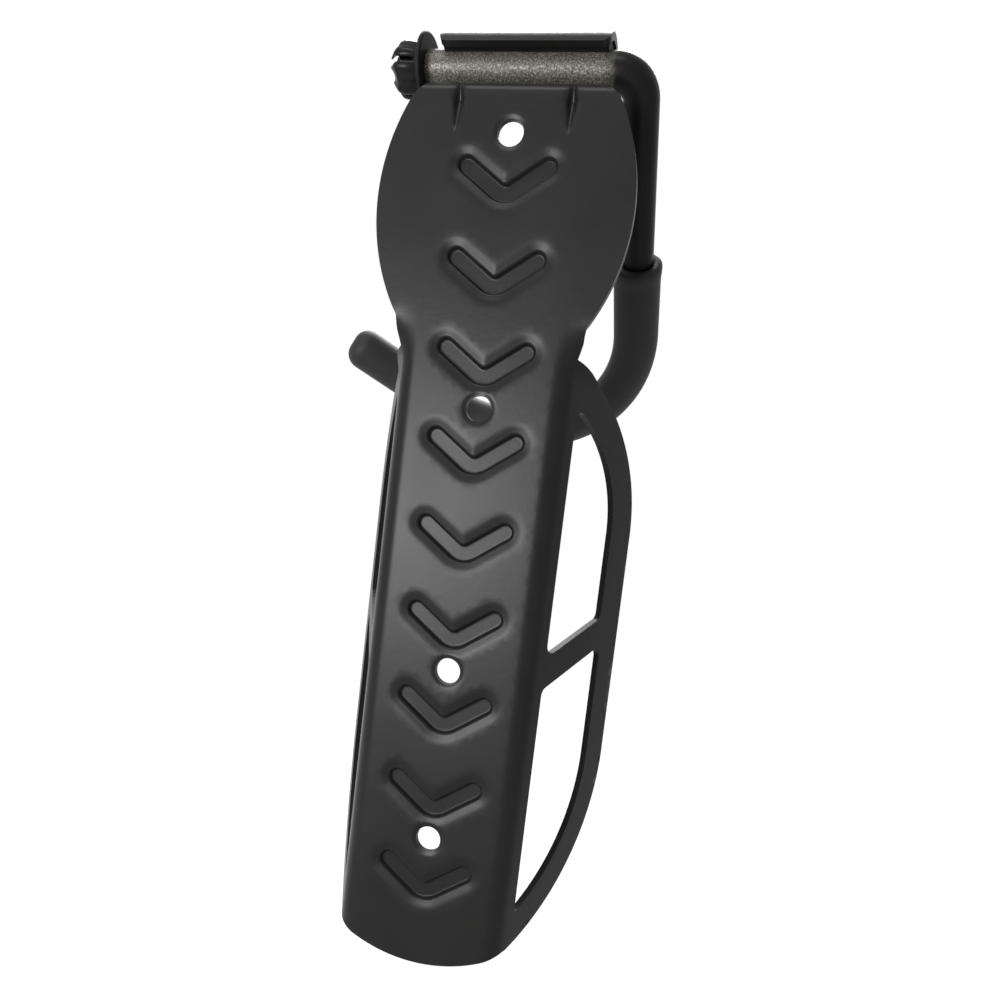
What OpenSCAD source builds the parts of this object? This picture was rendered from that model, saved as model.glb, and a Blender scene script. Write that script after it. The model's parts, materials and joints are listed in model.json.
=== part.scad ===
// Folding bicycle wall rack: a pressed steel back plate with two windowed wings,
// and a bent hook that swings in the curl rolled along the plate's top edge.
// Frame: +Z up, the wall face is the plane y = 0 and the wall is on the +Y side,
// the bicycle is on the -Y side, the origin is the middle of the top screw hole.

/* [Sheet and head] */
// Thickness of the steel sheet, with its paint
sheet_t = 2.6; // [2.2:0.1:2.8]
// Half of the head's greatest width
head_half_w = 47; // [44:0.5:50]
// Radius of the head's rounded sides
head_side_r = 76; // [70:1:90]
// Drop from the top screw hole to the head's widest line
head_wide_drop = 24.5; // [20:0.5:28]
// Height of the plate's top fold above the top screw hole
head_top = 18.1; // [17:0.1:21]
// Half width of the neck below the head
neck_half_w = 35.5; // [34:0.5:37]
// Radius of the plate's two top corners
top_corner_r = 1; // [0.5:0.1:2]
// Inner radius of the fold between the plate and the curl
fold_r = 1.5; // [1:0.1:2.2]

/* [Chevrons and screw holes] */
// Number of pressed chevrons
chevron_count = 9; // [9:1:10]
// Distance from one chevron to the next
chevron_pitch = 32; // [30:0.5:34]
// Drop from the top screw hole to the first chevron's point
chevron_drop = 23.5; // [22.5:0.5:25]
// Width of a chevron's bars
chevron_bar_w = 5.6; // [4:0.1:6]
// Distance from a chevron's middle to the end of each bar's centre line
chevron_half_span = 15; // [12:0.5:16]
// Slope of a chevron's bars
chevron_slope = 33; // [25:1:36]
// Depth of the chevrons, pressed in from the wall side
chevron_depth = 1.9; // [1:0.1:2]
// Diameter of the screw holes
screw_hole_d = 9.5; // [6:0.1:10]
// Distance from the last chevron's point to the plate's lowest point
bottom_margin = 24.5; // [22:0.5:28]

/* [Wings] */
// Half width of the channel, measured where its back and wing faces would meet
channel_half_w = 30.4; // [29:0.1:32]
// Outward lean of each wing from square to the wall
wing_splay = 26.5; // [20:0.5:30]
// Outer radius of the bends between the back and the wings
wing_bend_r = 8; // [6:0.5:9]
// Distance by which a wing's top edge runs out before it turns down
wing_run = 28; // [24:0.5:32]
// Drop of the wing's top edge along that run
wing_fall = 6.7; // [4:0.1:9]
// Drop from the wings' top to the end of the turn, where the outer edge is straight
wing_turn = 59.7; // [52:0.1:68]
// Drop from the top screw hole to the top of the wings
wing_top_drop = 75.3; // [73:0.5:78]
// Width of a wing, from the channel's corner to its outer edge
wing_w = 55.4; // [53:0.1:58]
// Radius of the wing's lower outline
wing_low_r = 75; // [73:0.5:77]
// Height above the plate's lowest point at which the lower outline begins
wing_low_rise = 80; // [78:0.5:82]
// Width of the rim around the upper window
rim_upper_w = 13.7; // [11:0.1:15]
// Width of the rim around the lower window
rim_lower_w = 11.3; // [10:0.1:13]
// Distance from the channel's corner to the windows
window_inset = 9.1; // [8.5:0.1:11]
// Width of the crossbar between the windows
crossbar_w = 11; // [9:0.5:14]
// Rise of the crossbar towards the wing's outer edge
crossbar_rise = 23.7; // [18:0.1:27]
// Drop from the top screw hole to the crossbar's inner end
crossbar_drop = 189; // [184:0.5:193]
// Radius of the windows' corners
window_corner_r = 3.5; // [2:0.5:4]

/* [Curl] */
// Half of the curl's length along the hinge line
curl_half_l = 31; // [28:0.5:33]
// Inner radius of the curl
curl_in_r = 9.4; // [9.2:0.1:9.6]
// Angle from the curl's lowest line round to its free lip
curl_wrap = 243; // [230:1:250]
// How far the fold reaches past each end of the curl
fold_reach = 3; // [1:0.5:4]

/* [Bush] */
// Distance of the bush's ends inside the curl's ends
bush_inset = 0.8; // [0.5:0.1:2]
// Angle by which the bush stops short of the curl's lip
bush_short = 3; // [2:1:8]
// Clearance between the bush and the curl around it
bush_seat = 0.03; // [0.01:0.01:0.05]
// Running clearance between the hook rod and the bush
pivot_clearance = 0.06; // [0.03:0.01:0.1]

/* [Gusset dents] */
// Distance of the two dents across the top fold from the middle
dent_x = 20.5; // [16:0.5:24]
// Length of a dent
dent_l = 22; // [16:1:24]
// Greatest half width of a dent
dent_r = 1.7; // [1:0.1:2]

/* [Hook] */
// Diameter of the hook's round rod
rod_d = 13.4; // [12:0.1:14]
// Room between the curl's end and the start of the elbow
elbow_gap = 1.6; // [0.3:0.1:2]
// Centre line radius of the elbow between the barrel and the arm
elbow_r = 9; // [8:0.1:10]
// Distance from the hinge line to the start of the hook's wide bend
arm_l = 107; // [100:1:113]
// Centre line radius of the hook's wide bend
hook_bend_r = 64.5; // [62:0.5:68]
// Angle that the wide bend turns through
hook_bend_deg = 129; // [115:1:135]
// Length of the straight run of rod behind the tip
tip_l = 43; // [35:1:50]
// Swing of the hook out from hanging straight down, as drawn
hook_swing = 49; // [24:1:90]

/* [Grip sleeve] */
// Outer diameter of the soft sleeve
sleeve_d = 20.3; // [18:0.1:21]
// Distance from the hinge line to the sleeve's open end
sleeve_start = 72; // [65:1:80]
// Thickness of the sleeve past the rod's end
sleeve_tip_t = 9; // [7:0.5:10]
// Rounding of the sleeve's closed tip
sleeve_tip_r = 7.5; // [3:0.5:8.5]
// Rounding of the sleeve's open end
sleeve_rim_r = 2; // [0.5:0.1:2]
// Clearance between the rod and the sleeve
sleeve_clearance = 0.04; // [0.03:0.01:0.1]
// Step by which the wide bend is thinner than the straight runs beside it
bend_step = 0.04; // [0.04:0.01:0.1]

/* [Retainer] */
// Diameter of the loose washer
washer_d = 24.4; // [24.4:0.2:26]
// Thickness of the washer
washer_t = 1.8; // [1:0.1:2]
// Extra diameter of the washer's hole over the rod
washer_play = 0.1; // [0.06:0.02:0.3]
// Gap between the washer's edge and the wall face
wall_gap = 0.3; // [0.3:0.1:1]
// Room between the curl and the end retainer
end_play = 8; // [6:0.5:12]
// Length of the end retainer
retainer_l = 12.5; // [10:0.5:13]
// Greatest diameter of the end retainer
retainer_d = 18.8; // [17:0.1:20]
// Wall thickness of the end retainer's fingers
finger_t = 1.9; // [1.4:0.1:2.2]
// Width of the slots between the fingers
slot_w = 4.5; // [2:0.1:6]
// Number of fingers
finger_count = 4; // [4:2:6]
// Diameter of the rod's stepped end inside the retainer
spigot_d = 9; // [8:0.1:9.5]
// Clearance between the rod's stepped end and the retainer
retainer_clearance = 0.03; // [0.02:0.01:0.1]

/* [Hidden] */
$fn = 64;
over = 1;                                   // how far a cutter runs past what it cuts
low_edge_step = 0.3;                        // how far the low edge's curve passes below the wings'
dent_tip_r = 0.1;                           // radius of the dents' pointed ends
lap = 0.2;                                  // how far round bars run into each other
hole_steps = [0, 3, 6, 8];                  // screw holes, in chevron pitches below the top one
rod_r = rod_d / 2;
barrel_y = washer_d / 2 + wall_gap;         // hinge line's distance from the wall face
barrel_z = head_top + curl_in_r;
curl_out_r = curl_in_r + sheet_t;
arm_x = curl_half_l + elbow_gap + elbow_r;  // the arm's distance from the middle line
fold_y = sheet_t + fold_r;                  // centre of the fold at the plate's top
fold_z = barrel_z - curl_out_r - fold_r;
plate_low = -chevron_drop - (chevron_count - 1) * chevron_pitch - bottom_margin;
bend_turn = 90 - wing_splay;                // angle that the sheet turns from back to wing
bend_run = wing_bend_r * tan(bend_turn / 2);
floor_half_w = channel_half_w - bend_run;   // half width of the channel's flat back
wing_top = -wing_top_drop;
low_arc_z = plate_low + wing_low_rise;      // height at which the lower outline begins
low_arc_s = wing_w - wing_low_r;            // centre of the lower outline
wing_x0 = channel_half_w + bend_run * sin(wing_splay);        // where bend and wing meet
wing_low = low_arc_z - sqrt(pow(wing_low_r, 2) - pow(bend_run - low_arc_s, 2));
bottom_sag = wing_low - plate_low + low_edge_step;
bottom_r = (pow(wing_x0, 2) + pow(bottom_sag, 2)) / (2 * bottom_sag);
chevron_rise = chevron_half_span * tan(chevron_slope);
chevron_mid = chevron_bar_w / 2 / cos(chevron_slope);
chevron_wall = 1.6;                         // how much wider the raised side is
washer_flat = 0.1;                          // half of the flat left round the washer's edge
retainer_x = curl_half_l + end_play;        // where the rod steps down for the retainer
rod_end_run = 0.8 * retainer_l;             // length of the rod's stepped end
retainer_base = 0.3 * retainer_l;           // thickness of the retainer's closed base
retainer_bulge = 0.8;                       // how far the retainer bulges past its two ends
steel_black = "#1b1b1d";
foam_black = "#2b2a2c";
liner_black = "#232326";
plastic_black = "#161617";

// Points on an arc about c, from angle a0 to a1 in n steps
function arc(c, r, a0, a1, n) =
    [for (i = [0:n]) let (a = a0 + (a1 - a0) * i / n) c + r * [cos(a), sin(a)]];

// A point on the cubic curve with the four control points p
function bezier(p, t) =
    pow(1 - t, 3) * p[0] + 3 * t * pow(1 - t, 2) * p[1]
    + 3 * t * t * (1 - t) * p[2] + pow(t, 3) * p[3];

// The direction of that curve
function bezier_way(p, t) =
    let (d = pow(1 - t, 2) * (p[1] - p[0]) + 2 * t * (1 - t) * (p[2] - p[1]) + t * t * (p[3] - p[2]))
    d / norm(d);

// A point at a distance w to the right of the curve, seen along it
function bezier_inset(p, t, w) =
    let (d = bezier_way(p, t)) bezier(p, t) + w * [d[1], -d[0]];

// The corner q between p and s, rounded with radius r in n steps
function rounded(p, q, s, r, n = 6) =
    let (u = (p - q) / norm(p - q), v = (s - q) / norm(s - q),
         half = acos(u * v) / 2, m = (u + v) / norm(u + v),
         c = q + m * r / sin(half), a = q + u * r / tan(half), b = q + v * r / tan(half),
         a0 = atan2(a[1] - c[1], a[0] - c[0]), turn = atan2(b[1] - c[1], b[0] - c[0]) - a0,
         sweep = turn > 180 ? turn - 360 : turn < -180 ? turn + 360 : turn)
    arc(c, r, a0, a0 + sweep, n);

// Stands a flat shape upright with its face at y = 0 and its thickness towards -Y
module upright(t) {
    rotate([90, 0, 0]) linear_extrude(t) children();
}

// Puts something made about a Z axis on the hinge line, its +Z along +X
module on_hinge() {
    translate([0, -barrel_y, barrel_z]) rotate([0, 90, 0]) children();
}

// ---- back plate -------------------------------------------------------------

// One side of the flat plate, from the fold at the top to the middle of its lower edge
function plate_side() =
    let (side_c = [head_half_w - head_side_r, -head_wide_drop],
         a_top = asin((fold_z + head_wide_drop) / head_side_r),
         a_neck = -acos((neck_half_w - side_c[0]) / head_side_r),
         side = arc(side_c, head_side_r, a_top, a_neck, 24))
    concat(
        [[0, fold_z]],
        rounded([0, fold_z], side[0], side[1], top_corner_r, 4),
        [for (i = [1:24]) side[i]],
        [[neck_half_w, wing_top], [floor_half_w, wing_top], [floor_half_w, plate_low]]);

module plate_outline() {
    right = plate_side();
    left = [for (i = [len(right) - 1:-1:1]) [-right[i][0], right[i][1]]];
    polygon(concat(right, left));
}

// All that lies above the curved lower edge of the plate's back and bends
module above_low_edge() {
    translate([0, plate_low + bottom_r]) circle(r = bottom_r, $fn = 128);
    translate([-bottom_r, plate_low + bottom_r]) square([2 * bottom_r, -plate_low + head_top]);
}

// A chevron whose bars are w wide, pointing down, for a bar of its own width with
// its outer point at the origin
function chevron(w) =
    let (a = chevron_slope, end_z = chevron_mid + chevron_rise, reach = w / 2 / cos(a))
    concat(
        [[0, chevron_mid - reach]],
        arc([chevron_half_span, end_z], w / 2, a - 90, a + 90, 8),
        [[0, chevron_mid + reach]],
        arc([-chevron_half_span, end_z], w / 2, 90 - a, 270 - a, 8));

module chevrons(w) {
    for (i = [0:chevron_count - 1])
        translate([0, -chevron_drop - i * chevron_pitch]) polygon(chevron(w));
}

// The wing's upper outline, as distances from the channel's corner and heights
function wing_upper() = [
    [bend_run, wing_top], [bend_run + wing_run, wing_top - wing_fall],
    [wing_w, wing_top - wing_turn / 2], [wing_w, wing_top - wing_turn]];

// Height of the crossbar's edge, offset up or down by half its width
function crossbar_edge(s, side) =
    -crossbar_drop + (s - window_inset) * tan(crossbar_rise) + side * crossbar_w / 2 / cos(crossbar_rise);

// The outline of a wing, carried back past the bend so that it cuts cleanly
function wing_outline() =
    let (up = wing_upper(), low_a = -acos((bend_run - low_arc_s) / wing_low_r),
         low = arc([low_arc_s, low_arc_z], wing_low_r, 0, low_a, 20))
    concat(
        [for (i = [0:24]) bezier(up, i / 24)], low,
        [[0, low[20][1]], [0, up[0][1]]]);

// The upper window, set in from the wing's outer edge by the width of the rim
function upper_window() =
    let (up = wing_upper(), s_out = wing_w - rim_upper_w,
         low_in = [window_inset, crossbar_edge(window_inset, 1)],
         low_out = [s_out, crossbar_edge(s_out, 1)],
         along = [for (i = [0:20]) bezier_inset(up, 0.2 + 0.8 * i / 20, rim_upper_w)],
         edge = [for (q = along) if (q[1] > low_out[1] + 1.5 * window_corner_r) q],
         run = edge[0] - edge[1],
         top = edge[0] + run * (edge[0][0] - window_inset) / -run[0])
    concat(
        rounded(low_in, top, edge[0], window_corner_r * 0.5),
        edge,
        rounded([s_out, edge[0][1]], low_out, low_in, window_corner_r),
        rounded(low_out, low_in, top, window_corner_r));

// The lower window, set in from the wing's lower outline by the width of the rim
function lower_window() =
    let (r = wing_low_r - rim_lower_w, s_out = wing_w - rim_lower_w,
         a_in = -acos((window_inset - low_arc_s) / r),
         edge = arc([low_arc_s, low_arc_z], r, 0, a_in, 16),
         top_in = [window_inset, crossbar_edge(window_inset, -1)],
         top_out = [s_out, crossbar_edge(s_out, -1)])
    concat(
        rounded(top_in, top_out, edge[0], window_corner_r),
        [for (i = [0:14]) edge[i]],
        rounded(edge[14], edge[16], top_in, window_corner_r * 0.5),
        rounded(edge[16], top_in, top_out, window_corner_r));

// Stands a shape drawn on a wing's outer face, as distances from the channel's
// corner and heights, in its place on the +X side, reaching through the sheet
module on_wing(depth) {
    translate([channel_half_w, 0, 0]) rotate([0, 0, -bend_turn]) translate([0, over, 0])
        upright(depth + 2 * over) children();
}

// The cross-section of the channel: its back, its bends and its wings
function channel_side() =
    let (c = [floor_half_w, -wing_bend_r], out = [sin(wing_splay), -cos(wing_splay)],
         tip = [channel_half_w, 0] + (wing_w + over) * out,
         inward = sheet_t * [-cos(wing_splay), -sin(wing_splay)])
    concat(
        arc(c, wing_bend_r, 90, wing_splay, 12), [tip, tip + inward],
        arc(c, wing_bend_r - sheet_t, wing_splay, 90, 12));

module channel() {
    right = channel_side();
    left = [for (i = [len(right) - 1:-1:0]) [-right[i][0], right[i][1]]];
    difference() {
        translate([0, 0, plate_low]) linear_extrude(wing_top - plate_low) polygon(concat(right, left));
        for (side = [0, 1]) mirror([side, 0, 0]) on_wing(sheet_t) {
            difference() {
                translate([bend_run + over, plate_low - over]) square([2 * wing_w, -plate_low]);
                polygon(wing_outline());
            }
            polygon(upper_window());
            polygon(lower_window());
        }
    }
}

// The fold at the top of the plate and the curl that holds the rod
module curl() {
    fold_half_l = curl_half_l + fold_reach;
    translate([-fold_half_l, -fold_y, fold_z]) rotate([90, 0, 90])
        rotate_extrude(angle = 90) translate([fold_r, 0]) square([sheet_t, 2 * fold_half_l]);
    translate([-curl_half_l, -barrel_y, fold_z + fold_r])
        cube([2 * curl_half_l, barrel_y - fold_y, sheet_t]);
    on_hinge() translate([0, 0, -curl_half_l]) mirror([0, 1, 0])
        rotate_extrude(angle = curl_wrap)
            translate([curl_in_r, 0]) square([sheet_t, 2 * curl_half_l]);
}

// A pointed dent across the top fold, widest two fifths of the way down
module gusset_dent() {
    wide = 0.4 * dent_l;
    translate([0, 0, head_top - wide]) cylinder(r1 = dent_r, r2 = dent_tip_r, h = wide);
    translate([0, 0, head_top - dent_l])
        cylinder(r1 = dent_tip_r, r2 = dent_r, h = dent_l - wide);
}

module back_plate() {
    color(steel_black) difference() {
        union() {
            intersection() {
                union() {
                    upright(sheet_t) plate_outline();
                    channel();
                }
                translate([0, over, 0]) upright(wing_w + 2 * over) above_low_edge();
            }
            upright(sheet_t + chevron_depth) chevrons(chevron_bar_w + chevron_wall);
            curl();
        }
        translate([0, over, 0]) upright(chevron_depth + over) chevrons(chevron_bar_w);
        for (step = hole_steps)
            translate([0, over, -step * chevron_pitch])
                rotate([90, 0, 0]) cylinder(d = screw_hole_d, h = sheet_t + 2 * over);
        for (side = [-1, 1]) translate([side * dent_x, 0, 0]) gusset_dent();
    }
}

// ---- bush -------------------------------------------------------------------

module pivot_bush() {
    bore_r = rod_r + pivot_clearance;
    half_l = curl_half_l - bush_inset;
    color(liner_black) on_hinge() translate([0, 0, -half_l]) mirror([0, 1, 0])
        rotate_extrude(angle = curl_wrap - bush_short)
            translate([bore_r, 0]) square([curl_in_r - bush_seat - bore_r, 2 * half_l]);
}

// ---- hook --------------------------------------------------------------------

// Puts the hook's pieces, drawn hanging straight down from the origin, in place
module hung() {
    translate([0, -barrel_y, barrel_z]) rotate([-hook_swing, 0, 0]) children();
}

// The wide bend, as a round bar of radius r
module wide_bend(r) {
    translate([hook_bend_r - arm_x, 0, -arm_l]) rotate([90, 0, 0]) rotate([0, 0, 180])
        rotate_extrude(angle = hook_bend_deg) translate([hook_bend_r, 0]) circle(r = r);
}

// Turns something drawn along +Z to run on from the end of the wide bend
module at_tip() {
    a = 180 + hook_bend_deg;
    translate([hook_bend_r - arm_x + hook_bend_r * cos(a), 0, -arm_l + hook_bend_r * sin(a)])
        rotate([0, 180 - hook_bend_deg, 0]) children();
}

module hook_rod() {
    barrel_start = elbow_r - arm_x;
    color(steel_black) hung() {
        translate([barrel_start, 0, 0]) rotate([0, 90, 0])
            cylinder(r = rod_r, h = retainer_x - barrel_start);
        translate([retainer_x, 0, 0]) rotate([0, 90, 0]) cylinder(d = spigot_d, h = rod_end_run);
        translate([barrel_start, 0, -elbow_r]) rotate([90, 0, 0]) rotate([0, 0, 90])
            rotate_extrude(angle = 90) translate([elbow_r, 0]) circle(r = rod_r);
        translate([-arm_x, 0, -arm_l - lap]) cylinder(r = rod_r, h = arm_l - elbow_r + lap);
        wide_bend(rod_r - bend_step);
        at_tip() translate([0, 0, -lap]) cylinder(r = rod_r, h = tip_l + lap);
    }
}

// A round bar up the Z axis from z0 to z1, with its upper end rounded
module round_ended(r, z0, z1, round_r) {
    rotate_extrude() polygon(concat(
        [[0, z0], [r, z0]], arc([r - round_r, z1 - round_r], round_r, 0, 90, 8), [[0, z1]]));
}

module grip_sleeve() {
    bore_r = rod_r + sleeve_clearance;
    bore_lap = lap + sleeve_clearance;
    outer_r = sleeve_d / 2;
    color(foam_black) hung() difference() {
        union() {
            translate([-arm_x, 0, 0])
                round_ended(outer_r, -arm_l - lap, -sleeve_start, sleeve_rim_r);
            wide_bend(outer_r - bend_step);
            at_tip() round_ended(outer_r, -lap, tip_l + sleeve_tip_t, sleeve_tip_r);
        }
        translate([-arm_x, 0, -arm_l - bore_lap]) cylinder(r = bore_r, h = arm_l + bore_lap);
        wide_bend(bore_r - bend_step);
        at_tip() translate([0, 0, -bore_lap])
            cylinder(r = bore_r, h = tip_l + bore_lap + sleeve_clearance);
    }
}

// ---- retainer ----------------------------------------------------------------

module retaining_washer() {
    hole_r = rod_r + washer_play / 2;
    edge_r = washer_t / 2 - washer_flat;
    edge_x = washer_d / 2 - edge_r;
    color(steel_black) hung() translate([retainer_x - washer_t, 0, 0]) rotate([0, 90, 0])
        rotate_extrude() polygon(concat(
            [[hole_r, 0]],
            arc([edge_x, edge_r], edge_r, -90, 0, 6),
            arc([edge_x, washer_t - edge_r], edge_r, 0, 90, 6),
            [[hole_r, washer_t]]));
}

// The profile of the retainer: a base on the rod's step and a bulging, open-ended cup
function retainer_profile() =
    let (bore_r = spigot_d / 2 + retainer_clearance, r_max = retainer_d / 2,
         half = retainer_l / 2,
         bulge_r = (half * half + retainer_bulge * retainer_bulge) / (2 * retainer_bulge),
         a = asin(half / bulge_r),
         in_r = r_max - finger_t)
    concat(
        [[bore_r, 0]],
        arc([r_max - bulge_r, half], bulge_r, -a, a, 10),
        [[in_r - retainer_bulge, retainer_l], [in_r, half], [in_r, retainer_base],
         [bore_r, retainer_base]]);

module end_retainer() {
    color(plastic_black) hung() translate([retainer_x, 0, 0]) rotate([0, 90, 0]) difference() {
        rotate_extrude() polygon(retainer_profile());
        for (i = [0:finger_count / 2 - 1])
            rotate([0, 0, hook_swing + i * 360 / finger_count])
                translate([-retainer_d, -slot_w / 2, retainer_base + over])
                    cube([2 * retainer_d, slot_w, retainer_l]);
    }
}

back_plate();
pivot_bush();
hook_rod();
grip_sleeve();
retaining_washer();
end_retainer();
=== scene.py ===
import json
import math

import bmesh
import bpy
import numpy as np
from bpy.props import FloatProperty, FloatVectorProperty, IntProperty, PointerProperty
from mathutils import Matrix, Vector
from mathutils.geometry import delaunay_2d_cdt


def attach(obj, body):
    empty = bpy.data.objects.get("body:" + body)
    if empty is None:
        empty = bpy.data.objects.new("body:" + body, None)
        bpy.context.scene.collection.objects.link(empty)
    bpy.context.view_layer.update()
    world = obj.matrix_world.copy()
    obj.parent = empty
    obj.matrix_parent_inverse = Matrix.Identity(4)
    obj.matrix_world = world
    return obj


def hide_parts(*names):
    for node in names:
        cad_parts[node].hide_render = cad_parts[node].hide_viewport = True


bl_info = {
    "name": "Bicycle wall rack dressing",
    "version": (1, 0, 0),
    "blender": (4, 5, 0),
    "location": "3D View > Sidebar > Wall Rack",
    "description": "Builds the pressed sheet, sleeve, retainer and finishes of a folding bicycle wall rack",
    "category": "Object",
}

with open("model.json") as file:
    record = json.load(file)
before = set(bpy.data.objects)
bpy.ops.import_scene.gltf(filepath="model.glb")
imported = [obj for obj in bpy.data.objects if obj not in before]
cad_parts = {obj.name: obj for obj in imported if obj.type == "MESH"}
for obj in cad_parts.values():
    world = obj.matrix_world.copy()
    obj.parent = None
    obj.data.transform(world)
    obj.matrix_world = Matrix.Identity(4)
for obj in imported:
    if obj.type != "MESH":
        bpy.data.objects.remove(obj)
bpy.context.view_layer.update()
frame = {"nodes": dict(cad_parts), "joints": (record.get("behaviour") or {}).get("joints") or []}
JOINT = frame["joints"][0]
HINGE = np.array(JOINT["pos_m"]) * 1000.0
MM = 0.001
# how far each screw hole lies below the top one, in millimetres
HOLE_DROPS = (0, 96, 192, 256)


def length(name, description, default):
    """A size in millimetres, shown in the sidebar."""
    return FloatProperty(name=name, description=description, default=default, min=0.0, max=1000.0)


def turn_by(name, description, degrees):
    """An angle, given in degrees and shown in the sidebar."""
    return FloatProperty(
        name=name, description=description, default=math.radians(degrees), subtype="ANGLE"
    )


def count(name, description, default, low, high):
    """A whole number shown in the sidebar."""
    return IntProperty(name=name, description=description, default=default, min=low, max=high)


def colour(name, description, default):
    """A colour shown in the sidebar."""
    return FloatVectorProperty(
        name=name, description=description, default=default, size=3, min=0.0, max=1.0, subtype="COLOR"
    )


# ---- settings ---------------------------------------------------------------


class RackSheetSettings(bpy.types.PropertyGroup):
    """Sizes of the pressed sheet, in millimetres."""

    thickness: length("Sheet thickness", "Thickness of the steel with its coat", 2.6)
    head_top: length("Head top", "Height of the top fold above the top screw hole", 18.1)
    fold_radius: length("Fold radius", "Inner radius of the fold under the curl", 1.5)
    curl_radius: length("Curl radius", "Inner radius of the curl", 9.4)
    curl_wrap: turn_by("Curl wrap", "Turn of the curl to its lip", 250)
    curl_half: length("Curl half length", "Half of the curl's length", 31.0)
    lip_corner: length("Lip corner radius", "Rounding of the lip's corners", 3.0)
    back_half: length("Back half width", "Half width of the flat back", 25.45)
    bend_radius: length("Bend radius", "Outer radius of the bends beside the back", 8.0)
    bend_angle: turn_by("Bend angle", "Turn from the back to a wing", 63.5)
    chevrons: count("Chevrons", "Number of pressed chevrons", 9, 1, 20)
    chevron_pitch: length("Chevron pitch", "Distance between chevrons", 32.0)
    chevron_drop: length("Chevron drop", "From the top hole to the first point", 23.5)
    chevron_width: length("Chevron width", "Width of a chevron's flat bottom and its walls", 6.3)
    chevron_depth: length("Chevron depth", "Depth of the pressed chevrons", 2.3)
    hole_radius: length("Hole radius", "Radius of the screw holes", 4.75)


class RackHookSettings(bpy.types.PropertyGroup):
    """Sizes of the hook's coverings, in millimetres."""

    arm: length("Arm", "Distance of the arm from the middle line", 41.6)
    arm_length: length("Arm length", "From the hinge line to the wide bend", 107.0)
    bend_radius: length("Bend radius", "Centre line radius of the wide bend", 64.5)
    bend_turn: turn_by("Bend turn", "Turn of the wide bend", 129)
    tip_length: length("Tip length", "Straight run behind the tip", 43.0)
    swing: turn_by("Swing", "Swing at rest", 49)
    sleeve_start: length("Sleeve start", "From the hinge line to the sleeve", 72.0)
    sleeve_radius: length("Sleeve radius", "Outer radius of the sleeve", 10.15)
    sleeve_end: length("Sleeve end", "Thickness of the sleeve past the rod", 9.0)
    rod_radius: length("Rod radius", "Radius of the rod", 6.7)
    retainer_start: length("Retainer start", "Where the retainer starts along the hinge", 39.0)
    retainer_length: length("Retainer length", "Length of the retainer", 12.5)
    retainer_radius: length("Retainer radius", "Greatest radius of the retainer", 9.4)
    petals: count("Petals", "Number of the retainer's petals", 4, 3, 8)


class RackFinishSettings(bpy.types.PropertyGroup):
    """Colours of the finishes."""

    coat: colour("Coat", "Powder coat on the sheet", (0.0055, 0.0055, 0.0053))
    rod: colour("Rod", "Satin coat on the rod", (0.004, 0.004, 0.004))
    bare: colour("Bare steel", "Worn steel at the hinge", (0.076, 0.072, 0.063))
    sleeve: colour("Sleeve", "Soft sleeve", (0.010, 0.010, 0.010))
    plastic: colour("Plastic", "Retainer and bush", (0.006, 0.006, 0.006))
    floor: colour("Floor", "Floor and backdrop", (0.92, 0.92, 0.92))


# ---- meshes -----------------------------------------------------------------


def new_object(name, points, faces):
    """A smooth-shaded mesh object at the origin, from points in metres."""
    mesh = bpy.data.meshes.new(name)
    mesh.from_pydata(np.asarray(points).tolist(), [], [list(map(int, f)) for f in faces])
    mesh.validate()
    mesh.update()
    mesh.polygons.foreach_set("use_smooth", np.full(len(mesh.polygons), True))
    thing = bpy.data.objects.new(name, mesh)
    bpy.context.scene.collection.objects.link(thing)
    return thing


def arc_points(centre, radius, start, end, steps):
    """Points at even angles from start to end (degrees) on a circle about the centre."""
    a = np.radians(np.linspace(start, end, steps + 1))
    return np.asarray(centre) + radius * np.stack([np.cos(a), np.sin(a)], 1)


def spread(loop, step):
    """The closed loop's corners joined by straight lines, with points no further apart than step."""
    parts = []
    for a, b in zip(loop, np.roll(loop, -1, 0)):
        n = max(1, int(math.ceil(np.linalg.norm(b - a) / step)))
        parts.append(a + (b - a) * np.linspace(0, 1, n, endpoint=False)[:, None])
    return np.concatenate(parts)


def within(points, loop):
    """True for points inside the loop: a line from the point crosses it an odd number of times."""
    a, b = loop, np.roll(loop, -1, 0)
    px, pz = points[:, :1], points[:, 1:]
    crosses = (a[:, 1] > pz) != (b[:, 1] > pz)
    rise = np.where(b[:, 1] == a[:, 1], 1e-12, b[:, 1] - a[:, 1])
    return (crosses & (px < (b[:, 0] - a[:, 0]) * (pz - a[:, 1]) / rise + a[:, 0])).sum(1) % 2 == 1


def near_lines(points, starts, ends):
    """The distance from each point to the nearest of the straight lines."""
    best = np.full(len(points), 1e9)
    for a, b in zip(starts, ends):
        ab = b - a
        t = np.clip(((points - a) @ ab) / max(ab @ ab, 1e-12), 0, 1)
        best = np.minimum(best, np.linalg.norm(points - a - t[:, None] * ab, axis=1))
    return best


def ease(t):
    """A smooth step: 0 below 0, 1 above 1, and 3tt - 2ttt between."""
    t = np.clip(t, 0.0, 1.0)
    return t * t * (3 - 2 * t)


def rounding(distance, width):
    """Quarter circle: 0 at the edge, 1 from that width on."""
    return np.sqrt(1 - (1 - np.clip(distance / width, 0, 1)) ** 2)


# ---- the pressed sheet ------------------------------------------------------


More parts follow.
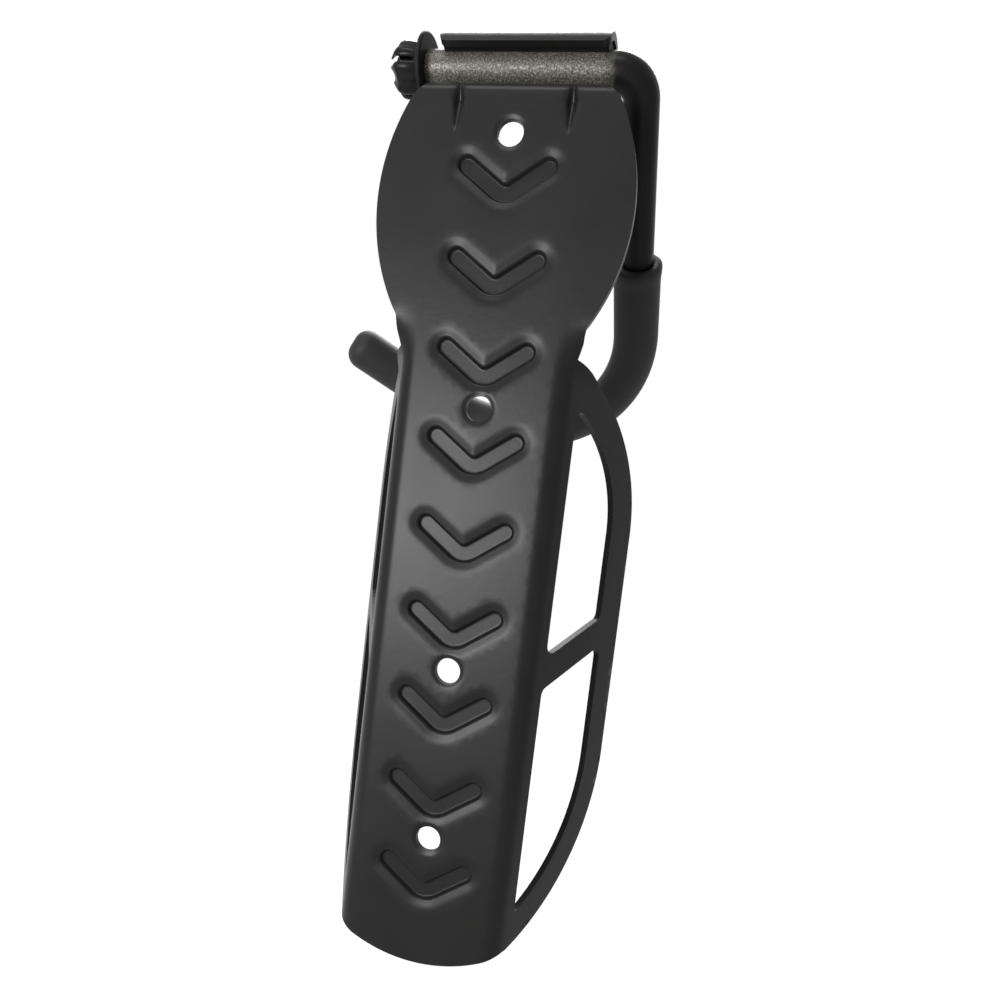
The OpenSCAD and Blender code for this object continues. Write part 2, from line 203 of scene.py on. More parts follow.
class Sheet:
    """The rack's sheet as one flat pattern (s across, t up), and the shape it is pressed to."""

    # heights of the wings' top and of the plate's lowest point
    top, low = -75.3, -304.0
    # a wing's width from the channel's corner, and the height where its outer edge turns straight
    wing_w, straight_z = 55.4, -135.0
    # what the curve along a wing's top leans towards: a place near the corner, a height outside
    first_handle, second_handle_z = (32.95, -82.0), -105.15
    # radius of the wings' lower outline, and the height of its centre above the lowest point
    low_r, low_rise = 75.0, 80.0
    # slope of a chevron's bars, half of its span, and the radius that joins the bars
    slope, half_span, blend = math.radians(35.5), 14.95, 5.4
    # the height above a chevron's point that is taken as its middle
    chevron_mid = 6.0
    # distance of the two dents from the middle line, and half the width kept for their fine grid
    dent_x, dent_room = 20.5, 4.8
    # the longest stretch of edge between two points
    edge_step = 2.4

    def __init__(self, settings):
        self.s = settings
        self.fold_z = settings.head_top - settings.thickness - settings.fold_radius
        self.fold_out = settings.fold_radius + settings.thickness
        self.fold_len = self.fold_out * math.pi / 2
        self.run_len = -HINGE[1] - self.fold_out
        self.curl_len = settings.curl_radius * settings.curl_wrap
        self.t_run = self.fold_z + self.fold_len
        self.t_curl = self.t_run + self.run_len
        self.t_lip = self.t_curl + self.curl_len
        self.bend_len = settings.bend_radius * settings.bend_angle
        self.bend_run = settings.bend_radius * math.tan(settings.bend_angle / 2)
        self.unfold = settings.back_half + self.bend_len - self.bend_run
        self.low_z = self.low + self.low_rise
        self.wall = settings.chevron_width / 2
        self.apex = self.wall - self.blend * (1 / math.cos(self.slope) - 1)
        self.way = np.array([math.cos(self.slope), math.sin(self.slope)])
        self.bar_start = self.blend * math.tan(self.slope)
        self.bar_end = self.half_span / self.way[0]
        self.arc_z = self.apex + self.blend / math.cos(self.slope)

    def chevron_distance(self, p):
        """How far each pattern point is from the middle line of the nearest chevron.

        A chevron's middle line is two straight bars joined by an arc; by symmetry |s| is used."""
        st, way = self.s, self.way
        row = np.round((-st.chevron_drop - (p[:, 1] - self.chevron_mid)) / st.chevron_pitch)
        k = np.clip(row, 0, st.chevrons - 1)
        x = np.abs(p[:, 0])
        z = p[:, 1] + st.chevron_drop + k * st.chevron_pitch
        run = x * way[0] + (z - self.apex) * way[1]
        along = np.clip(run, self.bar_start, self.bar_end)
        bar = np.hypot(x - along * way[0], z - self.apex - along * way[1])
        turn = np.abs(np.hypot(x, z - self.arc_z) - self.blend)
        return np.where((run < self.bar_start) & (z < self.arc_z), turn, bar)

    def chevron_contour(self, k, away):
        """Points at one distance from a chevron's middle line, on both sides and round its ends."""
        st, way = self.s, self.way
        base = -st.chevron_drop - k * st.chevron_pitch
        a = np.linspace(-math.pi / 2, -math.pi / 2 + self.slope, 7)[:, None]
        out = np.hstack([np.cos(a), np.sin(a)])
        turn = np.array([0.0, self.arc_z]) + self.blend * out
        run = np.linspace(self.bar_start, self.bar_end, 18)[1:, None] * way + [0.0, self.apex]
        side = np.repeat([[way[1], -way[0]]], len(run), 0)
        mid, nor = np.vstack([turn, run]), np.vstack([out, side])
        c = np.linspace(-math.pi / 2, math.pi / 2, 13)[:, None]
        cap = run[-1] + away * (np.cos(c) * way + np.sin(c) * np.array([-way[1], way[0]]))
        half_loop = np.vstack([mid + away * nor, cap, mid - away * nor])
        # the points on the middle line itself are not doubled
        mirrored = half_loop[half_loop[:, 0] > 0.01] * [-1, 1]
        loop = np.vstack([half_loop, mirrored]) + [0.0, base]
        # on the bars' inner side the contour's crossing ends are left out
        return loop[self.chevron_distance(loop) > away - 0.02]

    def pressed(self, p):
        """Depth of the pressing on the wall side and on the bicycle side, in millimetres.

        A chevron is a flat-bottomed trough with steep walls inside a wide shallow dish. A dent is
        a roof-shaped groove across the fold, widest two fifths of the way down. Each screw hole
        lies in a small dish."""
        st = self.s
        d = self.chevron_distance(p)
        trough = ease((self.wall + 0.4 - d) / 1.1)
        dish = ease((self.wall + 4.0 - d) / 4.2)
        hit = st.chevron_depth * (0.68 * trough + 0.32 * dish)
        ridge = st.chevron_depth * ease((self.wall + 2.0 - d) / 1.8)
        dent_top, dent_long, dent_deep = self.fold_z + self.fold_len * 0.75, 19.0, 2.2
        widest = 0.4
        down = (dent_top - p[:, 1]) / dent_long
        wide = np.clip(np.where(down < widest, down / widest, (1 - down) / (1 - widest)), 0, None)
        groove_w, soft_w = 2.3 * wide + 0.3, 2.3 * wide + 2.0
        dent = np.zeros(len(p))
        for side in (-1, 1):
            across = np.abs(p[:, 0] - side * self.dent_x)
            groove = dent_deep * wide * ease((groove_w - across) / (2.2 * wide + 0.3))
            soft = 0.3 * ease((soft_w - across) / 2.4) * ease(wide * 4)
            dent = np.maximum(dent, groove + soft)
        rim_w, rim_deep = 1.7, 0.45
        rim = np.zeros(len(p))
        for drop in HOLE_DROPS:
            away = np.hypot(p[:, 0], p[:, 1] + drop)
            rim = np.maximum(rim, ease((st.hole_radius + rim_w - away) / rim_w))
        return hit + dent + rim_deep * rim, ridge + dent

    def place(self, p, depth):
        """The pressed position of pattern points, moved off the wall side by depth.

        Below the fold the pattern is flat to the back's half width, then follows an arc of fixed
        length whose turn grows from none at the neck to the full bend, then runs straight. Above,
        it follows the fold, a flat run and the curl."""
        st = self.s
        s, t = np.abs(p[:, 0]), p[:, 1]
        sign = np.where(p[:, 0] < 0, -1.0, 1.0)
        neck_z, neck_run = -62.0, 20.0
        turn = np.maximum(st.bend_angle * ease((neck_z - t) / neck_run), 1e-6)
        q = np.clip(s - st.back_half, 0, None)
        arc = np.minimum(q, self.bend_len)
        b = turn * arc / self.bend_len
        radius = self.bend_len / turn
        rest = q - arc
        x = np.minimum(s, st.back_half) + radius * np.sin(b) + rest * np.cos(turn)
        y = -radius * (1 - np.cos(b)) - rest * np.sin(turn)
        flat = np.stack([sign * (x - depth * np.sin(b)), y - depth * np.cos(b), t], 1)
        a = np.clip((t - self.fold_z) / self.fold_out, 0, math.pi / 2)
        run = np.clip(t - self.t_run, 0, self.run_len)
        w = np.clip((t - self.t_curl) / st.curl_radius, 0, None)
        fy = -self.fold_out + (self.fold_out - depth) * np.cos(a) - run
        fz = self.fold_z + (self.fold_out - depth) * np.sin(a)
        cy = HINGE[1] - (st.curl_radius + depth) * np.sin(w)
        cz = HINGE[2] - (st.curl_radius + depth) * np.cos(w)
        on_curl = t > self.t_curl
        rolled = np.stack([p[:, 0], np.where(on_curl, cy, fy), np.where(on_curl, cz, fz)], 1)
        return np.where((t > self.fold_z)[:, None], rolled, flat) * MM

    def wing_top(self, t):
        """Places and unit directions along a wing's top edge: a cubic curve from the channel's
        corner round to the straight outer edge."""
        a, b, c, d = np.array([
            [self.bend_run, self.top],
            self.first_handle,
            [self.wing_w, self.second_handle_z],
            [self.wing_w, self.straight_z],
        ])
        u = 1 - t
        places = u**3 * a + 3 * t * u**2 * b + 3 * t * t * u * c + t**3 * d
        ways = u**2 * (b - a) + 2 * t * u * (c - b) + t * t * (d - c)
        return places, ways / np.linalg.norm(ways, axis=1)[:, None]

    def wing_low(self, radius, inner, steps):
        """The lower outline, or a curve inside it: an arc from the outer edge to width inner."""
        end = -math.degrees(math.acos((inner - self.wing_w + self.low_r) / radius))
        return arc_points((self.wing_w - self.low_r, self.low_z), radius, 0, end, steps)

    def outline(self):
        """The flat pattern's edge, with its right half mirrored."""
        st = self.s
        up, _ = self.wing_top(np.linspace(0, 1, 30)[:, None])
        low = self.wing_low(self.low_r, self.bend_run + 1.0, 30)
        # foot and base: one wide arc seen from the front, from the wings to the lowest point
        x_bend = st.back_half + st.bend_radius * math.sin(st.bend_angle)
        sag = low[-1][1] - self.low
        foot_r = (x_bend**2 + sag**2) / (2 * sag)
        q = np.linspace(self.bend_len, 0, 8)[:, None]
        x = st.back_half + st.bend_radius * np.sin(q / st.bend_radius)
        foot = np.hstack([st.back_half + q, self.low + foot_r - np.sqrt(foot_r**2 - x**2)])
        xs = np.linspace(st.back_half, 0, 20)[1:-1, None]
        base = np.hstack([xs, self.low + foot_r - np.sqrt(foot_r**2 - xs**2)])
        # head: round sides down to the neck, and a shoulder up to the curl
        side_c, side_r, side_top, neck_half, corner_half = np.array([-29.0, -24.5]), 76.0, 29.2, 35.3, 35.2
        neck = -math.degrees(math.acos((neck_half - side_c[0]) / side_r))
        side = arc_points(side_c, side_r, side_top, neck, 34)
        curl_side = np.array([
            [st.curl_half, self.t_lip - st.lip_corner],
            [st.curl_half, self.t_curl - 2.0],
        ])
        shoulder = np.array([[31.3, 1.0], [32.6, -2.0], [34.0, -4.6], [corner_half, -5.8]])
        shoulder = shoulder + [0.0, self.t_run]
        lip_c = (st.curl_half - st.lip_corner, self.t_lip - st.lip_corner)
        lip = arc_points(lip_c, st.lip_corner, 90, 0, 8)
        neck_end = np.array([[corner_half, -70.0]])
        wing = np.vstack([up, low[1:]]) + [self.unfold, 0]
        right = np.vstack([lip[:-1], curl_side, shoulder, side, neck_end, wing, foot, base])
        left = right[::-1] * [-1, 1]
        return spread(np.vstack([right, [[0, self.low]], left, [[0, self.t_lip]]]), self.edge_step)

    def openings(self):
        """The screw holes and the windows as loops in the flat pattern."""
        hole_r = self.s.hole_radius
        loops = [arc_points((0, -drop), hole_r, 0, 360, 48)[:-1] for drop in HOLE_DROPS]
        # windows: their distance from the corner, the rims outside them and their corners' radius
        inset, upper_rim, lower_rim, corner_r = 9.1, 13.7, 11.3, 3.2
        # crossbar: its rise outwards, its height at the channel's corner and half its height
        bar_slope = math.radians(23.7)
        rise, bar_z, bar_half = math.tan(bar_slope), -189.0, 5.5 / math.cos(bar_slope)

        def bar(s, side):
            """Height of the crossbar's upper (1) or lower (-1) edge at a distance s."""
            return bar_z + (s - inset) * rise + side * bar_half

        up, way = self.wing_top(np.linspace(0.2, 1, 24)[:, None])
        edge = up + upper_rim * np.stack([way[:, 1], -way[:, 0]], 1)
        out = self.wing_w - upper_rim
        edge = edge[edge[:, 1] > bar(out, 1) + 5.0]
        run = edge[0] - edge[1]
        top = edge[0] + run * (edge[0][0] - inset) / -run[0]
        upper = np.vstack([[inset, bar(inset, 1)], top, edge, [out, bar(out, 1)]])
        out = self.wing_w - lower_rim
        curve = self.wing_low(self.low_r - lower_rim, inset, 18)
        lower = np.vstack([[inset, bar(inset, -1)], [out, bar(out, -1)], curve])
        for loop in (upper, lower):
            moved = spread(self.rounded(loop, corner_r) + [self.unfold, 0], self.edge_step)
            loops += [moved, moved * [-1, 1]]
        return loops

    @staticmethod
    def rounded(loop, radius):
        """The loop with its sharp corners replaced by arcs of that radius, or less on short sides."""
        before, after = np.roll(loop, 1, 0), np.roll(loop, -1, 0)
        points = []
        for p, q, n in zip(before, loop, after):
            u, v = (p - q), (n - q)
            lu, lv = np.linalg.norm(u), np.linalg.norm(v)
            u, v = u / lu, v / lv
            half = math.acos(np.clip(u @ v, -1, 1)) / 2
            if half > math.radians(78):
                points.append(q[None])
                continue
            r = min(radius, 0.45 * min(lu, lv) * math.tan(half) if min(lu, lv) < 6 else radius)
            reach = r / math.tan(half)
            m = (u + v) / np.linalg.norm(u + v)
            c = q + m * r / math.sin(half)
            a, b = q + u * reach - c, q + v * reach - c
            a0 = math.atan2(a[1], a[0])
            turn = (math.atan2(b[1], b[0]) - a0 + math.pi) % (2 * math.pi) - math.pi
            points.append(arc_points(c, r, math.degrees(a0), math.degrees(a0 + turn), 6))
        return np.concatenate(points)

    def inner_points(self, edge, holes):
        """Points to shape the sheet: contours round each chevron, fine rows on the fold, curl,
        bends and dents, and an open three-way grid elsewhere."""
        st = self.s
        row_gap = math.sqrt(3) / 2

        def grid(x0, x1, z0, z1, step):
            """Points in rows, every other row moved half a step along."""
            z = np.arange(z0, z1, step * row_gap)
            x = np.arange(x0, x1, step)
            gx, gz = np.meshgrid(x, z)
            gx = gx + (np.arange(len(z)) % 2)[:, None] * step / 2
            return np.stack([gx.ravel(), gz.ravel()], 1)

        def beside_dents(q):
            """True within the strips kept for the dents' fine grids."""
            return np.abs(np.abs(q[:, 0]) - self.dent_x) < self.dent_room

        # contours follow the trough's walls closely and the dish loosely
        from_wall = (-1.6, -0.9, -0.6, -0.3, 0.0, 0.35, 0.8, 1.5, 2.6, 3.9)
        contours = np.concatenate([
            self.chevron_contour(k, self.wall + off) for k in range(st.chevrons) for off in from_wall
        ])
        half_width, open_step = 92, 2.6
        open_grid = grid(-half_width, half_width, self.low, self.fold_z - 0.6, open_step)
        open_grid = open_grid[self.chevron_distance(open_grid) > self.wall + 4.6]
        bend_mid = np.abs(open_grid[:, 0]) - st.back_half - self.bend_len / 2
        bends = np.abs(bend_mid) < self.bend_len / 2 + 0.6
        open_grid = open_grid[~(bends & (open_grid[:, 1] < -60))]
        q = np.linspace(0, self.bend_len, 11)
        z = np.arange(self.low, -58.0, 3.0)
        bx, bz = np.meshgrid(np.concatenate([-st.back_half - q, st.back_half + q]), z)
        bend_rows = np.stack([bx.ravel(), bz.ravel()], 1)
        fine_half, fine_step = 4.2, 0.42
        dents = np.concatenate([
            grid(x - fine_half, x + fine_half, self.fold_z - 16.0, self.t_run, fine_step)
            for x in (-self.dent_x, self.dent_x)
        ])
        open_grid = open_grid[~(beside_dents(open_grid) & (open_grid[:, 1] > self.fold_z - 17))]
        t = np.concatenate([
            np.linspace(self.fold_z, self.t_run, 14),
            np.linspace(self.t_run, self.t_curl, 5)[1:],
            np.linspace(self.t_curl, self.t_lip, 54)[1:-1],
        ])
        rx, rz = np.meshgrid(np.arange(-36, 36.1, 2.4), t)
        rolls = np.stack([rx.ravel(), rz.ravel()], 1)
        rolls = rolls[~(beside_dents(rolls) & (rolls[:, 1] < self.t_run))]
        rims = np.concatenate([
            arc_points((0, -drop), st.hole_radius + r, 0, 360, 48)[:-1]
            for drop in HOLE_DROPS
            for r in (0.6, 1.1, 1.7)
        ])
        near_hole = np.min([np.hypot(open_grid[:, 0], open_grid[:, 1] + z) for z in HOLE_DROPS], 0)
        open_grid = open_grid[near_hole > st.hole_radius + 2.4]
        points = np.concatenate([contours, open_grid, bend_rows, dents, rolls, rims])
        inside = within(points, edge)
        for hole in holes:
            inside &= ~within(points, hole)
        points = points[inside]
        loops = [edge, *holes]
        starts = np.concatenate(loops)
        ends = np.concatenate([np.roll(loop, -1, 0) for loop in loops])
        # points too close to an edge would make slivers
        return points[near_lines(points, starts, ends) > 0.55]

    def mesh(self):
        """Points and faces of the whole sheet: its wall side, its bicycle side and its cut edges."""
        edge, holes = self.outline(), self.openings()
        loops = [edge, *holes]
        points = np.concatenate([*loops, self.inner_points(edge, holes)])
        first = np.cumsum([0] + [len(loop) for loop in loops])
        lines = [
            (int(a + i), int(a + (i + 1) % len(loop)))
            for a, loop in zip(first, loops)
            for i in range(len(loop))
        ]
        flat, _, faces, *_ = delaunay_2d_cdt([Vector(p) for p in points], lines, [], 0, 1e-6)
        flat = np.array([tuple(v) for v in flat])
        faces = np.array(faces)
        middle = flat[faces].mean(1)
        keep = within(middle, edge)
        for hole in holes:
            keep &= ~within(middle, hole)
        faces = faces[keep]
        used = np.unique(faces)
        order = np.full(len(flat), -1)
        order[used] = np.arange(len(used))
        flat, faces = flat[used], order[faces]
        a, b, c = (flat[faces[:, i]] for i in range(3))
        area = (b[:, 0] - a[:, 0]) * (c[:, 1] - a[:, 1]) - (b[:, 1] - a[:, 1]) * (c[:, 0] - a[:, 0])
        faces[area > 0] = faces[area > 0][:, ::-1]
        hit, ridge = self.pressed(flat)
        outer = self.place(flat, hit)
        inner = self.place(flat, self.s.thickness + ridge)
        n = len(flat)
        sides = np.concatenate([faces[:, [0, 1]], faces[:, [1, 2]], faces[:, [2, 0]]])
        keys = np.sort(sides, 1) @ np.array([n, 1])
        _, where, count = np.unique(keys, return_index=True, return_counts=True)
        rim = sides[where[count == 1]]
        walls = np.stack([rim[:, 1], rim[:, 0], rim[:, 0] + n, rim[:, 1] + n], 1)
        shell = [*faces.tolist(), *(faces[:, ::-1] + n).tolist(), *walls.tolist()]
        return np.vstack([outer, inner]), shell, rim, n


def round_edges(thing, width, chosen_by):
    """Bevels the chosen edges in two steps."""
    bevel = thing.modifiers.new("Rounded edge", "BEVEL")
    bevel.limit_method = chosen_by
    bevel.width = width
    bevel.segments = 2
    bevel.harden_normals = True
    return bevel


def soften_rim(thing, rim, n, width):
    """Rounds the sheet's cut edges with a weighted bevel.

    Each edge is known by one number made of its two ends, in which the first end counts for
    more than any index of a point."""
    mesh = thing.data
    ends = np.empty(len(mesh.edges) * 2, int)
    mesh.edges.foreach_get("vertices", ends)
    keys = np.sort(ends.reshape(-1, 2), 1) @ np.array([4 * n, 1])
    marked = np.concatenate([np.sort(rim, 1), np.sort(rim, 1) + n]) @ np.array([4 * n, 1])
    weight = mesh.attributes.new("bevel_weight_edge", "FLOAT", "EDGE")
    weight.data.foreach_set("value", np.isin(keys, marked).astype(np.float32))
    round_edges(thing, width, "WEIGHT")


# ---- the hook's coverings ---------------------------------------------------


def hook_path(h):
    """Places along the hook's middle line, each with its direction, from the sleeve's start to
    the rod's end.

    The line runs straight down the arm, round the wide bend and straight along the tip, in the
    hook's own plane."""
    step = 1.6
    arm = np.arange(h.sleeve_start, h.arm_length, step)
    a = np.linspace(0, h.bend_turn, int(h.bend_radius * h.bend_turn / step))
    run = np.linspace(0, h.tip_length, 40)[1:]
    c = np.array([h.bend_radius - h.arm, h.arm_length])
    bend = c + h.bend_radius * np.stack([-np.cos(a), np.sin(a)], 1)
    way_end = np.array([math.sin(h.bend_turn), math.cos(h.bend_turn)])
    arm_line = np.stack([np.full(len(arm), -h.arm), arm], 1)
    places = np.vstack([arm_line, bend, bend[-1] + run[:, None] * way_end])
    arm_ways = np.tile([0.0, 1.0], (len(arm), 1))
    bend_ways = np.stack([np.sin(a), np.cos(a)], 1)
    ways = np.vstack([arm_ways, bend_ways, np.tile(way_end, (len(run), 1))])
    return places, ways


def swung(h, flat, lift):
    """A point of the hook's plane (across, down), lifted off the plane and swung out about the
    hinge line."""
    c, s = math.cos(h.swing), math.sin(h.swing)
    x = flat[..., 0]
    y = HINGE[1] - flat[..., 1] * s - lift * c
    z = HINGE[2] - flat[..., 1] * c + lift * s
    return np.stack([x, y, z], -1)


def tube(h, places, ways, radii, around):
    """A skin about the path: each ring is the place plus, at even angles, the radius there, which
    may vary along the path and round the ring."""
    a = np.linspace(0, 2 * math.pi, around, endpoint=False)
    side = np.stack([ways[:, 1], -ways[:, 0]], 1)
    flat = places[:, None, :] + (radii * np.cos(a))[..., None] * side[:, None, :]
    lift = radii * np.sin(a)
    return swung(h, flat, lift) * MM


def ring_faces(rows, around):
    """Quads joining each ring of points to the next."""
    i = np.arange(rows - 1)[:, None] * around
    j = np.arange(around)[None]
    k = (j + 1) % around
    return np.stack([i + j, i + k, i + around + k, i + around + j], -1).reshape(-1, 4).tolist()


class RACK_OT_sheet(bpy.types.Operator):
    """Press the sheet: back, wings, chevrons, dents, fold and curl"""

    bl_idname = "rack.sheet"
    bl_label = "Pressed sheet"

    def execute(self, context):
        sheet = Sheet(context.scene.rack_sheet)
        points, faces, rim, n = sheet.mesh()
        thing = new_object("pressed_sheet", points, faces)
        soften_rim(thing, rim, n, 0.35 * MM)
        thing.data.materials.append(powder_coat(context.scene.rack_finish))
        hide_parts("back_plate")
        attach(thing, "plate")
        return {"FINISHED"}


class RACK_OT_sleeve(bpy.types.Operator):
    """Draw the soft sleeve over the hook: a rounded open rim, an even tube and a blunt closed tip"""

    bl_idname = "rack.sleeve"
    bl_label = "Soft sleeve"

    def execute(self, context):
        h = context.scene.rack_hook
        around, outer, bore = 72, h.sleeve_radius, h.rod_radius + 0.05
        places, ways = hook_path(h)
        steps = np.linalg.norm(np.diff(places, axis=0), axis=1)
        along = np.concatenate([[0.0], np.cumsum(steps)])
        total = along[-1]
        # open rim: a short lining of the bore, a flat face and a quarter circle out to full size
        rim = 2.0
        a = np.radians(np.linspace(180, 90, 9))
        lip_along = np.concatenate([[5.0, 0.6, 0.1], rim + rim * np.cos(a)])
        lip_r = np.concatenate([[bore, bore, bore + 0.35], outer - rim + rim * np.sin(a)])
        # blunt tip: a quarter circle in, then a flat end
        tip_r, tip = 7.5, h.sleeve_end
        b = np.radians(np.linspace(0, 90, 14))
        tip_along = np.concatenate([total + tip - tip_r + tip_r * np.sin(b), [total + tip]])
        tip_out = np.concatenate([outer - tip_r + tip_r * np.cos(b), [0.01]])
        mid = along[(along > rim + 0.5) & (along < tip_along[0] - 0.5)]
        stations = np.concatenate([lip_along, mid, tip_along])
        radii = np.concatenate([lip_r, np.full(len(mid), outer), tip_out])
        # the path runs straight on past the rod's end
        past = 30.0
        reach = np.array([*along, total + past])
        line = np.vstack([places, places[-1] + past * ways[-1]])
        heading = np.vstack([ways, ways[-1]])
        at = np.stack([np.interp(stations, reach, line[:, i]) for i in (0, 1)], 1)
        way = np.stack([np.interp(stations, reach, heading[:, i]) for i in (0, 1)], 1)
        way /= np.linalg.norm(way, axis=1)[:, None]
        turn = np.linspace(0, 2 * math.pi, around, endpoint=False)[None]
        # the rim is flared and a little uneven round its edge
        flare = 1 - ease((stations[:, None] - 3.5) / 4.0)
        uneven = 0.45 + 0.14 * np.sin(3 * turn + 0.4) + 0.08 * np.sin(7 * turn + 2.0)
        radii = radii[:, None] + flare * uneven * (radii[:, None] > h.sleeve_radius - 1.9)
        skin = tube(h, at, way, radii, around)
        faces = ring_faces(len(stations), around)
        last = (len(stations) - 1) * around
        faces.append(list(range(last, last + around)))
        faces.append(list(range(around))[::-1])
        thing = new_object("soft_sleeve", skin.reshape(-1, 3), faces)
        thing.data.materials.append(soft_black(context.scene.rack_finish))
        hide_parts("grip_sleeve")
        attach(thing, "hook")
        return {"FINISHED"}


class RACK_OT_retainer(bpy.types.Operator):
    """Mould the end retainer: a collar, a fluted core and bulging petals with open ends"""

    bl_idname = "rack.retainer"
    bl_label = "End retainer"

    def execute(self, context):
        h = context.scene.rack_hook
        x0, long, big = h.retainer_start, h.retainer_length, h.retainer_radius
        points, faces = [], []

        def add(grid, close_round, capped=False):
            """Adds a grid of points (rows, around), joined round into a ring or left open."""
            start = sum(len(p) for p in points)
            rows, around = grid.shape[:2]
            points.append(grid.reshape(-1, 3))
            if close_round:
                made = ring_faces(rows, around)
                if capped:
                    made += [list(range(around)), list(range((rows - 1) * around, rows * around))]
            else:
                i = np.arange(rows - 1)[:, None] * around
                j = np.arange(around - 1)[None]
                corners = [i + j, i + j + 1, i + around + j + 1, i + around + j]
                made = np.stack(corners, -1).reshape(-1, 4).tolist()
            faces.extend([[v + start for v in f] for f in made])

        def turned(x, radius, angle):
            """Points at those places along, radii from and angles about the hinge line."""
            x, radius, a = np.broadcast_arrays(x, radius, angle + h.swing)
            return np.stack([x, HINGE[1] - radius * np.sin(a), HINGE[2] - radius * np.cos(a)], -1) * MM

        ring = np.linspace(0, 2 * math.pi, 96, endpoint=False)[None]
        # collar: a closed ring of rectangular section with rounded corners
        sec_x = np.array([0, 0, 0.15, 2.2, 2.5, 2.5, 2.2, 0.4, 0.0])[:, None]
        sec_r = np.array([4.7, 7.6, 7.9, 8.2, 7.9, 5.0, 4.7, 4.7, 4.7])[:, None]
        add(turned(x0 + sec_x, sec_r, ring), True)
        # core round the rod's end, with shallow flutes all round
        flutes, flute_deep = 8, 0.085
        cx = np.array([1.5, 2.0, 8.4, 9.0, 9.2, 9.2])[:, None]
        cr = np.array([5.9, 6.1, 5.9, 5.6, 5.0, 0.02])[:, None]
        flute = 1 + flute_deep * np.cos(flutes * ring) * (cr > 1)
        add(turned(x0 + cx, cr * flute, ring), True, True)
        # petals: the radius bulges along the length, each petal narrows and hooks in at its open
        # end, and the wall's thickness falls off in a quarter circle towards all its edges; v runs
        # along a petal from 0 to 1 and w across it from -1 to 1; skin is half the wall's thickness
        foot_r, skin = 7.6, 0.75
        v = 0.5 - 0.5 * np.cos(np.linspace(0, math.pi, 44))[:, None]
        w = np.sin(np.linspace(-0.5, 0.5, 41) * math.pi)[None]
        bulge = foot_r + (big - foot_r) * np.sin(math.pi * (0.12 + 0.80 * v)) ** 0.8
        bulge = bulge - 2.0 * ease((v - 0.72) / 0.28) ** 1.3 - skin
        half = math.radians(40.5) * (1 - 0.22 * ease((v - 0.55) / 0.45))
        ridge = 0.16 * np.cos(3 * math.pi * w) * ease(v * 4) * ease((1 - v) * 3)
        reach = long * (1.0 - 0.16 * (1 - w * w) - 0.05 * ease((abs(w) - 0.72) / 0.28))
        wall = skin * rounding(1 - abs(w), 0.16) * rounding(v, 0.06) * rounding(1 - v, 0.07)
        # the petals start a little way along the collar
        foot_x = 0.4
        along = x0 + foot_x + (reach - foot_x) * v
        for k in range(h.petals):
            middle = 2 * math.pi * k / h.petals
            add(turned(along, bulge + (1 + ridge / skin) * wall, middle + half * w), False)
            add(turned(along, bulge - wall, middle + half * w), False)
        thing = new_object("petal_retainer", np.concatenate(points), faces)
        tidy_skin(thing)
        bevel = round_edges(thing, 0.25 * MM, "ANGLE")
        bevel.angle_limit = math.radians(50)
        thing.data.materials.append(moulded_black("glossy_plastic", context.scene.rack_finish, 0.26))
        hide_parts("end_retainer")
        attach(thing, "hook")
        return {"FINISHED"}


def tidy_skin(thing):
    """Merges doubled points and turns all faces outwards."""
    work = bmesh.new()
    work.from_mesh(thing.data)
    bmesh.ops.remove_doubles(work, verts=work.verts, dist=1e-6)
    bmesh.ops.recalc_face_normals(work, faces=work.faces)
    work.to_mesh(thing.data)
    work.free()
    thing.data.polygons.foreach_set("use_smooth", np.full(len(thing.data.polygons), True))


# ---- finishes ---------------------------------------------------------------


def finish(name):
    """A new node material, with its tree, its shader and Object coordinates."""
    made = bpy.data.materials.new(name)
    made.use_nodes = True
    tree = made.node_tree
    shader = tree.nodes["Principled BSDF"]
    where = tree.nodes.new("ShaderNodeTexCoord").outputs["Object"]
    return made, tree, shader, where


def make_node(tree, kind, **values):
    """A new node with the named inputs set; an underscore in a name stands for a space."""
    node = tree.nodes.new(kind)
    for name, value in values.items():
        node.inputs[name.replace("_", " ")].default_value = value
    return node


def math_node(tree, kind, a, b=None):
    """One arithmetic step in the tree; a and b are numbers or other nodes' results."""
    node = tree.nodes.new("ShaderNodeMath")
    node.operation = kind
    for i, v in enumerate((a, b)):
        if isinstance(v, (int, float)):
            node.inputs[i].default_value = v
        elif v is not None:
            tree.links.new(v, node.inputs[i])
    return node.outputs[0]


def grain(tree, where, scale, detail=3.0, roughness=0.5):
    """Fine cloudy noise in Object coordinates."""
    node = make_node(tree, "ShaderNodeTexNoise", Scale=scale, Detail=detail, Roughness=roughness)
    tree.links.new(where, node.inputs["Vector"])
    return node.outputs["Fac"]


def between(tree, fac, low, high, start=0.0, end=1.0):
    """Maps a value to a range."""
    ends = {"From_Min": start, "From_Max": end, "To_Min": low, "To_Max": high}
    node = make_node(tree, "ShaderNodeMapRange", **ends)
    tree.links.new(fac, node.inputs["Value"])
    return node.outputs["Result"]


def ramp(tree, fac, stops):
    """A colour ramp with the given (place, colour) stops."""
    node = tree.nodes.new("ShaderNodeValToRGB")
    bar = node.color_ramp
    while len(bar.elements) < len(stops):
        bar.elements.new(0.5)
    for stop, (place, shade) in zip(bar.elements, stops):
        stop.position = place
        stop.color = (*shade, 1.0)
    tree.links.new(fac, node.inputs["Fac"])
    return node.outputs["Color"]


def bump(tree, fac, strength, depth, below=None):
    """A small height pattern on the surface."""
    node = make_node(tree, "ShaderNodeBump", Strength=strength, Distance=depth)
    tree.links.new(fac, node.inputs["Height"])
    if below is not None:
        tree.links.new(below, node.inputs["Normal"])
    return node.outputs["Normal"]


def shade(value, factor):
    """A colour scaled by a factor."""
    return tuple(min(1.0, c * factor) for c in value)


